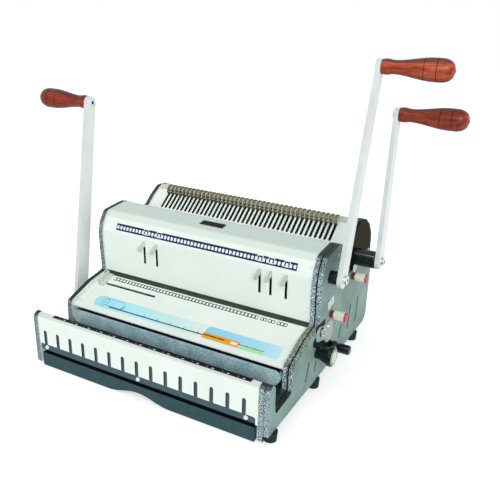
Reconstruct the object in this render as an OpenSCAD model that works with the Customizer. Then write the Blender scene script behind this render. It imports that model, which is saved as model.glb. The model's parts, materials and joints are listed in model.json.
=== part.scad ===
// Desk binding machine: a wire closer in front, a hole punch in the middle and a comb opener behind.
// Millimetres, +Z up, the user stands on the -Y side. The three levers swing forward about X.

/* [Body] */
// Clear width between the two frame plates
inner_w = 384; // [380:1:420]
// Thickness of each frame plate
plate_t = 8; // [6:0.5:10]
// Thickness of each side cover
cover_t = 8; // [6:0.5:10]
// Depth of the frame plates, front to back
body_d = 396; // [396:1:420]
// Height of the rubber feet
foot_h = 14; // [8:1:16]
// Radius of the rubber feet
foot_r = 10; // [7:0.5:11]
// Thickness of the sheet-metal covers
sheet_t = 2; // [1.5:0.1:2.2]
// Height of the front brackets over the base
bracket_h = 75.5; // [72:0.5:78]
// Rounding of the frame plates' corners
corner_r = 6; // [3:0.5:8]

/* [Front plate and drawer] */
// Number of slots in the front plate
holder_slots = 15; // [5:1:15]
// Pitch of the front slots
holder_pitch = 25; // [20:0.5:25]
// Width of a front slot
holder_slot_w = 6; // [3:0.5:8]
// Height of the front slots
holder_slot_h = 24; // [12:1:30]
// Height of the front plate's face
front_h = 45; // [40:0.5:48]
// Height of the drawer front
drawer_h = 22.5; // [16:0.5:23]
// Width of the finger arch under the drawer front
arch_w = 110; // [60:1:200]
// Height of the finger arch
arch_h = 10; // [4:0.5:12]
// Depth of the chip drawer
drawer_d = 226; // [180:1:300]

/* [Punch] */
// Number of punch pins
pin_n = 52; // [20:1:53]
// Pitch of the punch pins
pin_pitch = 6.35; // [5.5:0.05:6.35]
// Radius of a punch pin
pin_r = 2; // [1.2:0.1:2.4]
// Throw of the punch shaft's offset rod
throw = 4.5; // [3.5:0.1:5]
// Radius of the offset rod
rod_r = 5; // [4:0.1:5.5]
// Slot for the paper under the guide plate
paper_gap = 2.5; // [1.5:0.1:2.6]
// Swing of the punch lever in degrees
punch_swing = 100; // [60:1:100]

/* [Wire closer] */
// Height of the closer jaw
jaw_h = 21.5; // [18:0.5:27]
// Thickness of the closer jaw
jaw_t = 12; // [8:0.5:13]
// Tooth module of the closer gears
closer_mod = 2; // [1.8:0.1:2]
// Teeth on a full closer gear
closer_teeth = 24; // [23:1:24]
// Swing of the closer lever in degrees
closer_swing = 85; // [40:1:85]

/* [Comb opener] */
// Number of comb hooks
hook_n = 40; // [10:1:40]
// Pitch of the comb hooks
hook_pitch = 8.466; // [8:0.01:8.6]
// Width of a slot in the comb table
comb_slot_w = 4.8; // [3.8:0.1:5]
// Width of a comb hook
hook_w = 2.6; // [2:0.1:3.4]
// Tooth module of the comb gears
comb_mod = 1.5; // [1.4:0.05:1.5]
// Teeth on a comb gear
comb_teeth = 22; // [20:1:22]
// Swing of the comb lever in degrees
comb_swing = 75; // [30:1:75]

/* [Levers] */
// Width of a lever bar
bar_w = 27; // [20:0.5:28]
// Width of the lever bars at the grip
bar_tip_w = 20; // [16:0.5:28]
// Thickness of a lever bar
bar_t = 7; // [6:0.5:12]
// Length of the punch lever from shaft to grip
punch_lever_l = 304; // [280:1:330]
// Length of the closer lever from shaft to grip
closer_lever_l = 356; // [320:1:380]
// Length of the comb lever from shaft to grip
comb_lever_l = 230; // [200:1:240]
// Lean of the punch lever behind upright
punch_lean = 15.4; // [5:0.1:20]
// Lean of the closer lever behind upright
closer_lean = 9.3; // [5:0.1:20]
// Lean of the comb lever behind upright
comb_lean = 2.5; // [0:0.1:10]
// Length of the punch hub outside the cover
punch_hub_l = 14; // [12:0.5:18]
// Length of the closer hub outside the cover
closer_hub_l = 12; // [10:0.5:18]
// Length of the comb hub outside the cover
comb_hub_l = 35; // [34:0.5:45]
// Length of a wooden grip
grip_l = 100; // [85:1:130]
// Largest radius of a wooden grip
grip_r = 16; // [12:0.5:18]
// Radius of the lever shafts
shaft_r = 8; // [7:0.1:8.4]

/* [Hidden] */
// Radial clearance of shafts, knobs and pins in their bores
run_gap = 0.05;
// Clearance between pieces that slide past each other
slide_gap = 0.3;
// Clearance left where a sheet meets the frame plates
sheet_gap = 0.3;
// Gap between the drawer front and the table
table_gap = 1;
// Gap between the frame plates' front lips and the table
lip_gap = 4.5;
// Gap between the drawer front and the frame plates, and between it and the front plate over it
drawer_side = 4.5;
holder_gap = 4;
// Play of the offset rod in its forks
fork_gap = 0.35;
// Play between gear teeth
backlash = 0.12;
$fn = 48;

half_w = inner_w / 2;
out_x = half_w + plate_t + cover_t;
sheet_w = inner_w - 2 * sheet_gap;
front_y = -1;
lip_h = foot_h - lip_gap;
lip_w = 7;
bracket_w = 16;
gap_floor = 25;
deck_rim = 9;
// The right comb cover is thinner than the side covers; the left covers keep back from the plate's edge
comb_cover_t = 4;
comb_face = half_w + plate_t + comb_cover_t;
left_back = 10;
back_waist = 60;
foot_mid_y = 163;
foot_back = 60;
back_y = front_y + body_d;

// Deck: a sheet that slopes up to the punch throat
deck_y = 75;
deck_z = 59.3;
deck_a = 18.8;
deck_l = 82;

// Upper cover: upright front face, a brow that leans back over it, then a top that rises a little
cover_y = 161.8;
cover_z = 90;
cover_a = 92;
cover_face = 75;
bend_y = cover_y + cover_face * cos(cover_a);
bend_z = cover_z + cover_face * sin(cover_a);
brow_a = 66;
brow_l = 21.4;
brow_y = bend_y + brow_l * cos(brow_a);
brow_z = bend_z + brow_l * sin(brow_a);
ridge_y = brow_y + 15;
ridge_z = brow_z + 9.5;
cover_back_y = 232;
cover_edge = 1.5;
cover_bend = 14;
pull_x = [-107, -82.5, 107, 125.5, 151];
pull_slot_w = 4;
pull_slot_s0 = 30;
pull_slot_s1 = 70;
pull_h = 8;
pull_out = 17;

// Comb table: a slotted slope behind the upper cover
comb_y = 289.5;
comb_z = 175.2;
comb_a = 37;
comb_top_s = 40;
comb_slot_s = 37;
comb_foot_s = -37.5;
rail_h = 12;

// Shafts, as Y and Z of their axes over the base
punch_c = [190, 159];
closer_c = [123, 20];
comb_c = [304, 153];
spigot_r = 5;
bush_wall = 3;
bush_r = shaft_r + run_gap + bush_wall;

// The punch shaft seen from the deck's front edge, along and square to the deck
punch_u = (punch_c[0] - deck_y) * cos(deck_a) + (punch_c[1] - deck_z) * sin(deck_a);
punch_v = (punch_c[1] - deck_z) * cos(deck_a) - (punch_c[0] - deck_y) * sin(deck_a);
half_swing = punch_swing / 2;
rod_u = punch_u - throw * cos(half_swing);
rod_v = punch_v + throw * sin(half_swing);
punch_stroke = 2 * throw * sin(half_swing);
row_u = punch_u - throw;
pin_row = pin_pitch * (pin_n - 1);
pin_side = 0.5;
pin_x0 = -half_w + pin_side * (inner_w - pin_row);
die_t = 10;
guide_t = 12;
guide_v = paper_gap + guide_t;
bar_v0 = guide_v + punch_stroke + 7;
bar_v1 = bar_v0 + 14;
post_x = half_w - 9;
post_r = 4;
// Pins that fit between the posts, with a wall between
pin_wall = 2;
pin_xs = [for (i = [0 : pin_n - 1])
    let (x = pin_x0 + i * pin_pitch)
    if (abs(x) + pin_r + pin_wall < post_x - post_r) x];
punch_bar_w = 24;
web_r = 11;
web_t = 4;

// Closer: jaw, racks and gear sectors
jaw_y = 70;
jaw_z = deck_z - sheet_t - 4 - jaw_h / 2;
closer_r = closer_mod * closer_teeth / 2;
rack_z = closer_c[1] + closer_r;
rack_root_z = rack_z + 1.25 * closer_mod;
rack_top_z = 54;
rack_x = half_w - 22;
rack_w = 10;
rack_end_y = closer_c[0] + closer_r * closer_swing * PI / 180 + 14;

// Comb opener: rake, racks and gears, seen along and square to the comb table
comb_s = (comb_c[0] - comb_y) * cos(comb_a) + (comb_c[1] - comb_z) * sin(comb_a);
comb_n = (comb_c[1] - comb_z) * cos(comb_a) - (comb_c[0] - comb_y) * sin(comb_a);
comb_r = comb_mod * comb_teeth / 2;
comb_pitch_n = comb_n + comb_r;
comb_root_n = comb_pitch_n + 1.25 * comb_mod;
comb_travel = comb_r * comb_swing * PI / 180;
rake_top_n = -sheet_t - slide_gap;
rake_s0 = comb_slot_s - 11;
rake_s1 = comb_slot_s;
hook_s = comb_slot_s - 6.5;
rake_rack_x = 150;
rake_rack_w = 10;

// Knobs on the right side, as Y and Z of their axes over the base
gap_knob_c = [155, 50];
release_knob_c = [210, 35];
margin_front_c = [203, 93];
margin_rear_c = [292, 123];
margin_knob_l = 26;
spindle_r = 4;
link_c = [197, 66];
link_r = 17;

// Edge guide in its slot across the deck
guide_slot_u = 63;
guide_slot_l = 112;
guide_slot_x0 = -half_w + 11;
guide_slot_x1 = guide_slot_x0 + guide_slot_l;
guide_slot_w = 5;

// Chip drawer between its runners
drawer_w = 300;
drawer_wall = 1.5;
chip_h = 7;
runner_t = 4;
drawer_front_t = 8;
arch_x = -3;
drawer_bottom = table_gap - foot_h;
drawer_top = drawer_bottom + drawer_h;
holder_z = drawer_top + holder_gap;
holder_t = 8;
front_z = 70;
holder_tab = 4;
holder_r = 4;
holder_x = [for (i = [0 : holder_slots - 1])
    let (x = -4.3 + (i - (holder_slots - 1) / 2) * holder_pitch)
    if (abs(x) + holder_slot_w / 2 < half_w - holder_tab - holder_r) x];

// Extents that centre the model over its footprint
right_x = out_x + comb_hub_l + bar_t + grip_l;
left_x = -(out_x + closer_hub_l + bar_t + grip_l);
centre_x = (right_x + left_x) / 2;
centre_y = (front_y + back_y) / 2;

// Points and paths in a plane
function unit(v) = v / norm(v);
function fillet(a, b, c, r, n = 6) =
    let (p = unit(a - b), q = unit(c - b), w = acos(max(-1, min(1, p * q))))
    w > 175 || r == 0 ? [b] :
    let (d = min(r / tan(w / 2), 0.45 * norm(a - b), 0.45 * norm(c - b)), k = d * tan(w / 2),
         m = b + unit(p + q) * (k / sin(w / 2)), s = b + p * d - m, e = b + q * d - m,
         a0 = atan2(s[1], s[0]), turn = atan2(s[0] * e[1] - s[1] * e[0], s * e))
    [for (i = [0 : n]) m + k * [cos(a0 + turn * i / n), sin(a0 + turn * i / n)]];
function round_closed(p, r) =
    let (n = len(p)) [for (i = [0 : n - 1]) each fillet(p[(i + n - 1) % n], p[i], p[(i + 1) % n], r)];
function flat(p) = [p[0], p[1]];
function round_each(p) =
    let (n = len(p)) [for (i = [0 : n - 1])
        each fillet(flat(p[(i + n - 1) % n]), flat(p[i]), flat(p[(i + 1) % n]), p[i][2])];
function round_open(p, r) =
    let (n = len(p)) [p[0], for (i = [1 : n - 2]) each fillet(p[i - 1], p[i], p[i + 1], r), p[n - 1]];
function left_of(v) = [-v[1], v[0]];
function side_step(p, i, t) =
    let (n = len(p), u = unit(p[min(i + 1, n - 1)] - p[min(i, n - 2)]), w = unit(p[max(i, 1)] - p[max(i - 1, 0)]),
         a = left_of(w), b = left_of(u))
    (a + b) * t / (1 + a * b);
// Outline of a bent sheet: the path itself and its copy a thickness to the right
function ribbon(p, t) =
    let (n = len(p)) concat(p, [for (i = [n - 1 : -1 : 0]) p[i] - side_step(p, i, t)]);

// Involute gear and rack outlines
function inv_deg(x) = tan(x) * 180 / PI - x;
function polar(r, a) = [r * cos(a), r * sin(a)];
function flank(r, m, z) =
    let (rb = m * z / 2 * cos(20)) 90 / z - backlash * 180 / PI / (m * z) + inv_deg(20) - inv_deg(acos(min(1, rb / r)));
function tooth(m, z, c) =
    let (rp = m * z / 2, rb = rp * cos(20), ra = rp + 0.9 * m, rr = rp - 1.25 * m, lo = max(rb, rr), n = 5)
    concat([polar(rr, c - flank(lo, m, z))],
        [for (i = [0 : n]) let (r = lo + (ra - lo) * i / n) polar(r, c - flank(r, m, z))],
        [for (i = [n : -1 : 0]) let (r = lo + (ra - lo) * i / n) polar(r, c + flank(r, m, z))],
        [polar(rr, c + flank(lo, m, z))]);
function gear_points(m, z, from, to) = [for (k = [from : to]) each tooth(m, z, k * 360 / z)];
function rack_tooth(m, k) =
    let (p = PI * m, h = p / 4 - backlash / 2, t = tan(20), a = 0.9 * m, d = 1.25 * m)
    [[k * p - h - d * t, d], [k * p - h + a * t, -a], [k * p + h - a * t, -a], [k * p + h + d * t, d]];
function rack_points(m, from, to) = [for (k = [from : to]) each rack_tooth(m, k + 0.5)];

// Side outline of the machine: bracket, closing gap, deck, upper unit, comb unit
function side_outline(lip) = round_each([[front_y, -lip, 2], [front_y, bracket_h - 5, corner_r],
    [front_y + 6, bracket_h, corner_r], [front_y + bracket_w - 4, bracket_h - 0.5, 5],
    [front_y + bracket_w + 1, bracket_h - 8, 8], [front_y + bracket_w + 1, bracket_h - 30, 20],
    [front_y + bracket_w + 4, gap_floor, corner_r], [jaw_y - 8, gap_floor + 3, 9], [jaw_y + 1, gap_floor + 6, 4],
    [deck_y - 3, deck_z + 4.7, corner_r], [deck_y + 0.5, deck_z + deck_rim - 0.5, corner_r],
    [deck_y + 46, deck_z + 46 * tan(deck_a) + deck_rim, 40], [cover_y - 2, cover_z + 1, 5],
    [cover_y - 4.5, cover_z + 42, 30], [bend_y - 2.8, bend_z - 6, 20], [bend_y + 1.3, bend_z + 12, 14],
    [brow_y + 4.5, brow_z + 11, 10], [ridge_y + 7, ridge_z + 3.3, 20], [cover_back_y - 13, ridge_z + 6, 12],
    [cover_back_y - 1, ridge_z + 3, 8], [cover_back_y + 22, comb_z + 1, 14], [comb_y - 3, comb_z + 0.5, 12],
    [comb_y + 13, comb_z + 14.6, 30], [comb_y + 36, comb_z + 29.5, 22], [comb_y + 62, comb_z + 28, 26],
    [comb_y + 87, comb_z + 12, 30], [back_y - 2, comb_z - 11, 30], [back_y, comb_z - 45, 50],
    [back_y - 1, back_waist, 50], [back_y - 1, 0, 16],
    if (lip > 0) each [[front_y + lip_w, 0, 2], [front_y + lip_w, -lip, 2]]]);
frame_outline = side_outline(lip_h);
cover_outline = side_outline(0);
comb_zone = [[comb_y - 30, comb_z + 65], [comb_y - 26, comb_z], [comb_y - 12, comb_z - 43],
    [back_y + 20, comb_z - 43], [back_y + 20, comb_z + 65]];
// Narrow slits in the right side cover, each from one end to the other
slit_w = 4.5;
slit_end_r = 2.45;
slits = [[[127, 45], [120, 20]], [[156, 33], [152, 20]], [[258, 47], [253, 29]], [[300, 67], [294, 27]],
    [[337, 67], [334, 22]]];

// Places 2D outlines drawn in Y and Z as slabs across the machine
module across(x0, t) {
    translate([x0, 0, 0]) rotate([90, 0, 90]) linear_extrude(height = t) children();
}
module placed() {
    translate([-centre_x, -centre_y, foot_h]) children();
}
module on_deck() {
    translate([0, deck_y, deck_z]) rotate([deck_a, 0, 0]) children();
}
module on_cover() {
    translate([0, cover_y, cover_z]) rotate([cover_a, 0, 0]) children();
}
module on_brow() {
    translate([0, bend_y, bend_z]) rotate([brow_a, 0, 0]) children();
}
module on_comb() {
    translate([0, comb_y, comb_z]) rotate([comb_a, 0, 0]) children();
}
module rod_x(x0, l, r, c) {
    translate([x0, c[0], c[1]]) rotate([0, 90, 0]) cylinder(h = l, r = r);
}
module turned(x0, c, points) {
    translate([x0, c[0], c[1]]) rotate([0, 90, 0]) rotate_extrude() polygon(points);
}
module bore_2d(c, r) {
    translate(c) circle(r);
}

module slit_2d(a, b) {
    translate(a) rotate(atan2(b[1] - a[1], b[0] - a[0])) translate([0, -slit_w / 2]) square([norm(b - a), slit_w]);
    for (c = [a, b])
        translate(c) circle(slit_end_r);
}

module base_plate() {
    color([0.55, 0.60, 0.58]) placed() {
        translate([-half_w, 14, 0]) cube([inner_w, back_y - 24, sheet_t]);
        for (s = [-1, 1])
            translate([s * (drawer_w / 2 + slide_gap + runner_t / 2) - runner_t / 2, 16, 0])
                cube([runner_t, drawer_d - 16, 9]);
    }
}

module frame_2d() {
    difference() {
        polygon(frame_outline);
        for (c = [punch_c, closer_c, comb_c])
            bore_2d(c, bush_r);
    }
}
module left_frame_plate() {
    color([0.42, 0.46, 0.45]) placed() across(-half_w - plate_t, plate_t) frame_2d();
}
module right_frame_plate() {
    color([0.42, 0.46, 0.45]) placed() across(half_w, plate_t) frame_2d();
}
module left_2d() {
    intersection() {
        polygon(cover_outline);
        translate([left_back, -left_back]) polygon(cover_outline);
    }
}
module left_side_cover() {
    color([0.52, 0.60, 0.57]) placed() across(-out_x, cover_t) difference() {
        left_2d();
        polygon(comb_zone);
        bore_2d(closer_c, bush_r);
    }
}
module right_side_cover() {
    color([0.52, 0.60, 0.57]) placed() across(half_w + plate_t, cover_t) difference() {
        polygon(cover_outline);
        polygon(comb_zone);
        bore_2d(punch_c, bush_r);
        for (c = [gap_knob_c, release_knob_c, margin_front_c, margin_rear_c])
            bore_2d(c, spindle_r + run_gap);
        for (e = slits)
            slit_2d(e[0], e[1]);
    }
}
module left_comb_cover() {
    color([0.13, 0.10, 0.08]) placed() across(-comb_face, comb_cover_t) intersection() {
        left_2d();
        polygon(comb_zone);
    }
}
module right_comb_cover() {
    color([0.13, 0.10, 0.08]) placed() across(half_w + plate_t, comb_cover_t) difference() {
        intersection() {
            polygon(cover_outline);
            polygon(comb_zone);
        }
        bore_2d(comb_c, bush_r);
    }
}

module front_plate() {
    path = round_open([[0, holder_z], [0, front_z], [16, front_z]], 3);
    low = front_z - front_h;
    color([0.92, 0.95, 0.92]) placed() difference() {
        across(-sheet_w / 2, sheet_w) polygon(ribbon(path, sheet_t));
        translate([0, sheet_t + 1, 0]) rotate([90, 0, 0]) linear_extrude(height = sheet_t + 2) {
            translate([-half_w, holder_z - 1]) square([inner_w - holder_tab - holder_r, low - holder_z + 1]);
            translate([-half_w, holder_z - 1]) square([inner_w - holder_tab, low - holder_z + 1 - holder_r]);
            translate([half_w - holder_tab - holder_r, low - holder_r]) circle(holder_r);
            for (x = holder_x) {
                translate([x - holder_slot_w / 2, low - 1]) square([holder_slot_w, holder_slot_h + 1 - holder_slot_w / 2]);
                translate([x, low + holder_slot_h - holder_slot_w / 2]) circle(holder_slot_w / 2);
            }
        }
    }
}
module wire_holder_bar() {
    color([0.27, 0.35, 0.37]) placed() difference() {
        translate([-sheet_w / 2, sheet_t, holder_z]) cube([sheet_w, holder_t, front_z - 12 - holder_z]);
        translate([-sheet_w / 2 - 1, sheet_t + 4, holder_z + 10])
            cube([sheet_w + 2, holder_t, front_z - 12 - holder_z - 20]);
    }
}
module screw_head(r, h) {
    difference() {
        cylinder(h = h, r1 = r, r2 = r * 0.8);
        translate([-r, -0.4, h - 0.6]) cube([2 * r, 0.8, 1]);
    }
}
module front_screws() {
    color([0.94, 0.95, 0.93]) placed() {
        for (x = [-half_w + 12, -4, half_w - 19])
            translate([x, sheet_t, holder_z + 5]) rotate([90, 0, 0]) screw_head(3.4, 1.6);
        for (s = [-1, 1]) {
            translate([s * (half_w - 6), 0, front_z - 31.5]) rotate([90, 0, 0]) screw_head(2.4, 1.2);
            on_deck() translate([s * (half_w - 6), 12.5, 0]) screw_head(3, 1.4);
            on_cover() translate([s * (half_w - 4.5), 26, 0]) screw_head(2.4, 1.2);
            on_brow() translate([s * (half_w - 4.5), 14.5, 0]) screw_head(2.4, 1.2);
        }
    }
}

module lower_deck() {
    color([0.92, 0.95, 0.92]) placed() on_deck() difference() {
        translate([-sheet_w / 2, 0, -sheet_t]) cube([sheet_w, deck_l, sheet_t]);
        translate([guide_slot_x0, guide_slot_u - guide_slot_w / 2, -sheet_t - 1])
            cube([guide_slot_x1 - guide_slot_x0, guide_slot_w, sheet_t + 2]);
    }
}
module upper_cover() {
    path = round_open([[cover_y + cover_edge * cos(cover_a), cover_z + cover_edge * sin(cover_a)], [bend_y, bend_z],
        [brow_y, brow_z], [ridge_y, ridge_z], [cover_back_y - 11, ridge_z + 5], [cover_back_y, ridge_z + 2.5],
        [cover_back_y + 4, comb_z - 25]], cover_bend);
    color([0.92, 0.95, 0.92]) placed() difference() {
        across(-sheet_w / 2, sheet_w) polygon(ribbon(path, sheet_t));
        for (x = pull_x)
            on_cover() translate([x - pull_slot_w / 2, pull_slot_s0, -10])
                cube([pull_slot_w, pull_slot_s1 - pull_slot_s0, 20]);
    }
}
module comb_table() {
    color([0.92, 0.95, 0.92]) placed() difference() {
        union() {
            on_comb() translate([-sheet_w / 2, comb_foot_s, -sheet_t])
                cube([sheet_w, comb_top_s - comb_foot_s, sheet_t]);
            translate([-sheet_w / 2, cover_back_y + 6, comb_z + comb_foot_s * sin(comb_a) - sheet_t])
                cube([sheet_w, comb_y + comb_foot_s * cos(comb_a) - cover_back_y - 5, sheet_t]);
        }
        for (i = [0 : hook_n - 1])
            on_comb() translate([(i - (hook_n - 1) / 2) * hook_pitch, comb_slot_w / 2, -sheet_t - 4]) {
                translate([-comb_slot_w / 2, 0, 0]) cube([comb_slot_w, comb_slot_s - comb_slot_w / 2, sheet_t + 8]);
                cylinder(h = sheet_t + 8, r = comb_slot_w / 2, $fn = 24);
            }
    }
}
module comb_rail() {
    profile = round_closed([[comb_top_s, -4], [comb_top_s, 1], [comb_top_s + 2, 2], [comb_top_s + rail_h, 1.5],
        [comb_top_s + rail_h, -4]], 1);
    color([0.50, 0.55, 0.53]) placed() on_comb() across(-sheet_w / 2, sheet_w) polygon(profile);
}
module rear_cover() {
    path = round_open([[comb_y + 46, comb_z + 27], [comb_y + 60, comb_z + 25], [comb_y + 85, comb_z + 9],
        [back_y - 5, comb_z - 13], [back_y - 4, comb_z - 45], [back_y - 5, back_waist],
        [back_y - 5, sheet_t + 0.2]], 34);
    color([0.42, 0.46, 0.45]) placed() across(-sheet_w / 2, sheet_w) polygon(ribbon(path, sheet_t));
}

module die_plate() {
    color([0.20, 0.20, 0.15]) placed() on_deck() difference() {
        translate([-sheet_w / 2, deck_l + sheet_gap, -die_t]) cube([sheet_w, row_u + 16 - deck_l, die_t]);
        for (x = pin_xs)
            translate([x, row_u, -die_t - 1]) cylinder(h = die_t + 2, r = pin_r + run_gap);
    }
}
module guide_plate() {
    color([0.55, 0.56, 0.56]) placed() on_deck() difference() {
        translate([-sheet_w / 2, row_u - 14, paper_gap]) cube([sheet_w, 30, guide_t]);
        for (x = pin_xs)
            translate([x, row_u, paper_gap - 1])
                cylinder(h = guide_t + 2, r = pin_r + run_gap);
    }
}
module guide_posts() {
    color([0.75, 0.76, 0.76]) placed() on_deck() {
        for (s = [-1, 1])
            translate([s * post_x, row_u, guide_v]) cylinder(h = bar_v1 - guide_v + 2, r = post_r);
    }
}
module closer_rails() {
    color([0.60, 0.61, 0.60]) placed() {
        for (s = [0, 1])
            mirror([s, 0, 0]) {
                translate([rack_x, jaw_y + jaw_t + 2, rack_top_z + slide_gap])
                    cube([half_w - rack_x, rack_end_y - jaw_y - jaw_t, 4]);
                translate([rack_x + rack_w + 1, jaw_y + jaw_t + 2, rack_root_z - 3])
                    cube([half_w - rack_x - rack_w - 1, rack_end_y - jaw_y - jaw_t, 4]);
            }
    }
}

module bush(x0, l, c) {
    translate([x0, c[0], c[1]]) rotate([0, 90, 0]) difference() {
        cylinder(h = l, r = bush_r);
        translate([0, 0, -1]) cylinder(h = l + 2, r = shaft_r + run_gap);
    }
}
module shaft_bushes() {
    color([0.72, 0.58, 0.30]) placed() {
        bush(half_w, plate_t + cover_t, punch_c);
        bush(-half_w - plate_t, plate_t, punch_c);
        bush(half_w, plate_t + comb_cover_t, comb_c);
        bush(-half_w - plate_t, plate_t, comb_c);
        bush(half_w, plate_t, closer_c);
        bush(-out_x, plate_t + cover_t, closer_c);
    }
}
module side_screws() {
    color([0.75, 0.76, 0.76]) placed() {
        for (s = [0, 1])
            mirror([s, 0, 0]) {
                translate([out_x, cover_back_y - 13, ridge_z - 10.5]) rotate([0, 90, 0]) screw_head(3, 1.5);
                translate([comb_face, back_y - 12, comb_z - 37]) rotate([0, 90, 0]) screw_head(2.5, 1.4);
            }
        translate([out_x + sheet_t, link_c[0] - 5, link_c[1] + 11]) rotate([0, 90, 0]) screw_head(3.4, 1.6);
    }
}
module link_plate() {
    color([0.70, 0.74, 0.73]) placed() across(out_x, sheet_t) {
        translate(link_c) circle(link_r);
        translate(link_c) polygon([[-link_r, 0], [link_r, 0], [8, link_r + 1], [-13, link_r + 1]]);
    }
}
module feet() {
    color([0.08, 0.08, 0.08]) placed() {
        for (c = [[half_w + foot_r + 1, front_y + lip_w + foot_r + 0.5], [half_w + foot_r + 1, foot_mid_y],
            [half_w + foot_r + 1, back_y - foot_back], [-half_w - plate_t / 2, front_y + drawer_front_t + foot_r + 1],
            [-half_w - plate_t / 2, foot_mid_y], [-half_w - plate_t / 2, back_y - foot_back]])
            translate([c[0], c[1], -foot_h])
                cylinder(h = foot_h, r1 = foot_r - 1, r2 = foot_r);
    }
}

// Punch bar with forks that take the shaft's offset rod
module punch_bar() {
    fork = [[row_u - 6, bar_v1 - 1], [rod_u + rod_r + 8, bar_v1 - 1], [rod_u + rod_r + 8, rod_v + rod_r + 7],
        [rod_u + 2, rod_v + rod_r + 7], [rod_u + 2, rod_v + rod_r + fork_gap],
        [rod_u + rod_r + 1.2, rod_v + rod_r + fork_gap], [rod_u + rod_r + 1.2, rod_v - rod_r - fork_gap],
        [row_u - 6, rod_v - rod_r - fork_gap]];
    color([0.45, 0.46, 0.46]) placed() on_deck() {
        difference() {
            translate([-half_w + 2, row_u - punch_bar_w / 2, bar_v0])
                cube([inner_w - 4, punch_bar_w, bar_v1 - bar_v0]);
            for (s = [-1, 1])
                translate([s * post_x, row_u, bar_v0 - 1])
                    cylinder(h = bar_v1 - bar_v0 + 2, r = post_r + run_gap);
        }
        for (x = [-120, 0, 120])
            across(x - 7, 14) polygon(fork);
    }
}
module punch_pins() {
    color([0.80, 0.81, 0.82]) placed() on_deck() {
        for (x = pin_xs)
            translate([x, row_u, paper_gap + 0.5])
                cylinder(h = bar_v0 - paper_gap - 0.5, r = pin_r);
    }
}
module punch_shaft() {
    rod_c = [deck_y + rod_u * cos(deck_a) - rod_v * sin(deck_a), deck_z + rod_u * sin(deck_a) + rod_v * cos(deck_a)];
    in_x = half_w - 3;
    color([0.70, 0.71, 0.72]) placed() {
        rod_x(-in_x, 2 * in_x, rod_r, rod_c);
        for (s = [-1, 1])
            rod_x(s * (in_x - web_t / 2) - web_t / 2, web_t, web_r, punch_c);
        rod_x(-half_w - plate_t + slide_gap, plate_t + 4 - slide_gap, shaft_r, punch_c);
        rod_x(in_x - 1, out_x + punch_hub_l - in_x + 1, shaft_r, punch_c);
        rod_x(out_x + punch_hub_l - 1, bar_t + 1, spigot_r, punch_c);
    }
}
module hub(x0, l, r, c) {
    translate([x0, c[0], c[1]]) rotate([0, 90, 0]) difference() {
        union() {
            cylinder(h = l - 2, r = r);
            translate([0, 0, l - 2]) cylinder(h = 2, r1 = r, r2 = r - 1);
        }
        translate([0, 0, -1]) cylinder(h = l + 2, r = shaft_r);
    }
}
module lever_bar(x0, c, l, lean) {
    translate([x0, c[0], c[1]]) rotate([-lean, 0, 0]) rotate([90, 0, 90]) linear_extrude(height = bar_t)
        difference() {
            union() {
                circle(bar_w / 2);
                polygon([[-bar_w / 2, 0], [bar_w / 2, 0], [bar_tip_w / 2, l], [-bar_tip_w / 2, l]]);
                translate([0, l]) circle(bar_tip_w / 2);
            }
            circle(spigot_r);
        }
}
function step01(x) = let (t = max(0, min(1, x))) t * t * (3 - 2 * t);
function grip_radius(t) =
    (0.6 * grip_r + 0.09 * grip_r * exp(-pow((t - 0.07) / 0.06, 2)) + 0.4 * grip_r * step01((t - 0.16) / 0.56))
    * sqrt(1 - pow(max(0, (t - 0.8) / 0.2), 2.4));
module grip(x0, c, l, lean) {
    translate([x0, c[0], c[1]]) rotate([-lean, 0, 0]) translate([0, 0, l]) rotate([0, 90, 0]) difference() {
        rotate_extrude() polygon(concat([[0, 0]],
            [for (i = [0 : 32]) [i == 32 ? 0 : grip_radius(i / 32), grip_l * i / 32]]));
        for (t = [0.6, 0.77])
            translate([0, 0, grip_l * t]) rotate_extrude()
                translate([grip_radius(t) - 0.7, -0.6]) square([3, 1.2]);
    }
}
module lever_bolts(x0, c, l, lean) {
    translate([x0 + bar_t, c[0], c[1]]) rotate([0, 90, 0]) difference() {
        union() {
            cylinder(h = 1.5, r = 8.5);
            cylinder(h = 5, r = 6.5);
        }
        translate([0, 0, 3]) cylinder(h = 3, r = 3.2, $fn = 6);
    }
    translate([x0, c[0], c[1]]) rotate([-lean, 0, 0]) translate([0, 0, l]) rotate([0, -90, 0])
        difference() {
            cylinder(h = 2.5, r = 5);
            translate([0, 0, 1]) cylinder(h = 3, r = 2.4, $fn = 6);
        }
}
module punch_hub() {
    color([0.06, 0.06, 0.07]) placed() hub(out_x + slide_gap, punch_hub_l - slide_gap, shaft_r + 2, punch_c);
}
module punch_lever() {
    color([0.90, 0.94, 0.91]) placed() lever_bar(out_x + punch_hub_l, punch_c, punch_lever_l, punch_lean);
}
module punch_grip() {
    color([0.60, 0.24, 0.13]) placed()
        grip(out_x + punch_hub_l + bar_t, punch_c, punch_lever_l, punch_lean);
}
module punch_bolt() {
    color([0.80, 0.81, 0.82]) placed()
        lever_bolts(out_x + punch_hub_l, punch_c, punch_lever_l, punch_lean);
}

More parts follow.
